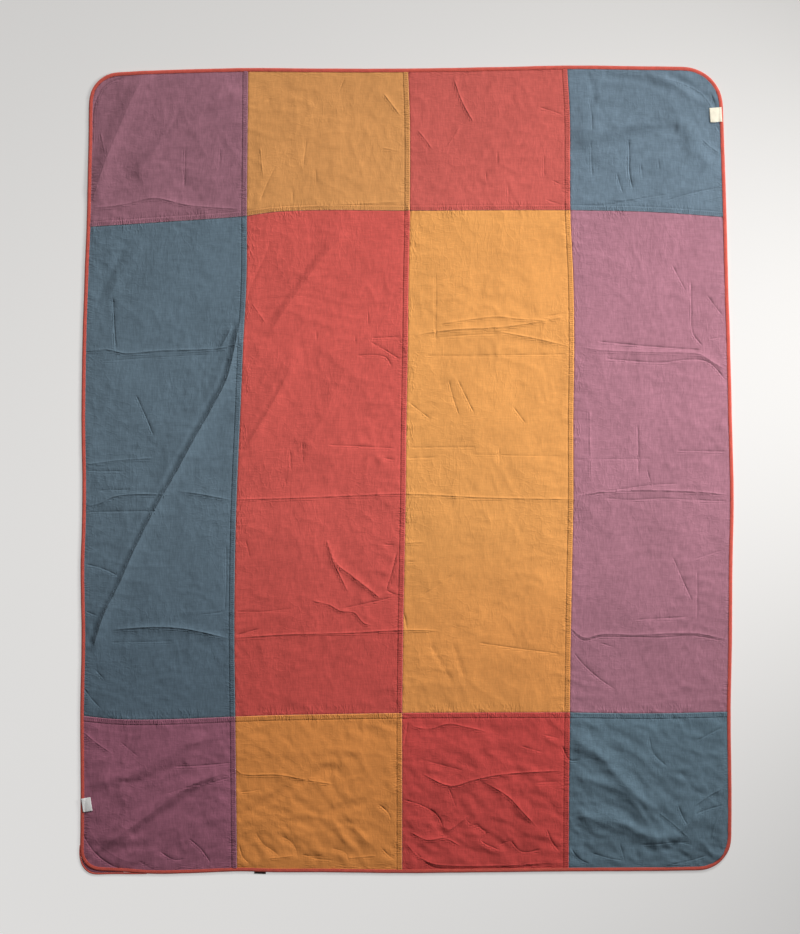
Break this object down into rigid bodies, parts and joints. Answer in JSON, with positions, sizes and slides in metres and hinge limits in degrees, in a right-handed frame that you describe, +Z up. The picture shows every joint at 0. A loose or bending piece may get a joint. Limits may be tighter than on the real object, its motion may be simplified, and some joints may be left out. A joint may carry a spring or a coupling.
{
  "type": "beach blanket",
  "caption": "Thin colour-block beach blanket of washed cotton panels with rounded corners and a rounded contrast binding, lying spread out flat.",
  "frame": {"origin": "the middle of the blanket's footprint, on the surface that it lies on", "axes": "+Z up from the surface, +Y along the blanket's long side towards its head edge, +X to the right of someone who looks down with the head edge at the top"},
  "size_m": [1.526, 1.8822, 0.0165],
  "materials": {
    "mauve": "washed slubby cotton, matt",
    "ochre": "washed slubby cotton, matt",
    "red": "washed slubby cotton, matt",
    "blue": "washed slubby cotton, matt",
    "coral": "closely woven cotton binding, slight sheen",
    "cream": "woven label tape",
    "white": "thin label tape",
    "brown": "dark woven tape"
  },
  "bodies": {
    "root": {"binding": "coral", "care_label": "white", "corner_back": "mauve", "corner_back_edging": "coral", "panel_foot_1": "mauve", "panel_foot_2": "ochre", "panel_foot_3": "red", "panel_foot_4": "blue", "panel_head_1": "mauve", "panel_head_2": "ochre", "panel_head_3": "red", "panel_head_4": "blue", "panel_long_1": "blue", "panel_long_2": "red", "panel_long_3": "ochre", "panel_long_4": "mauve", "tab": "brown", "woven_label": "cream"}
  },
  "joints": []
}
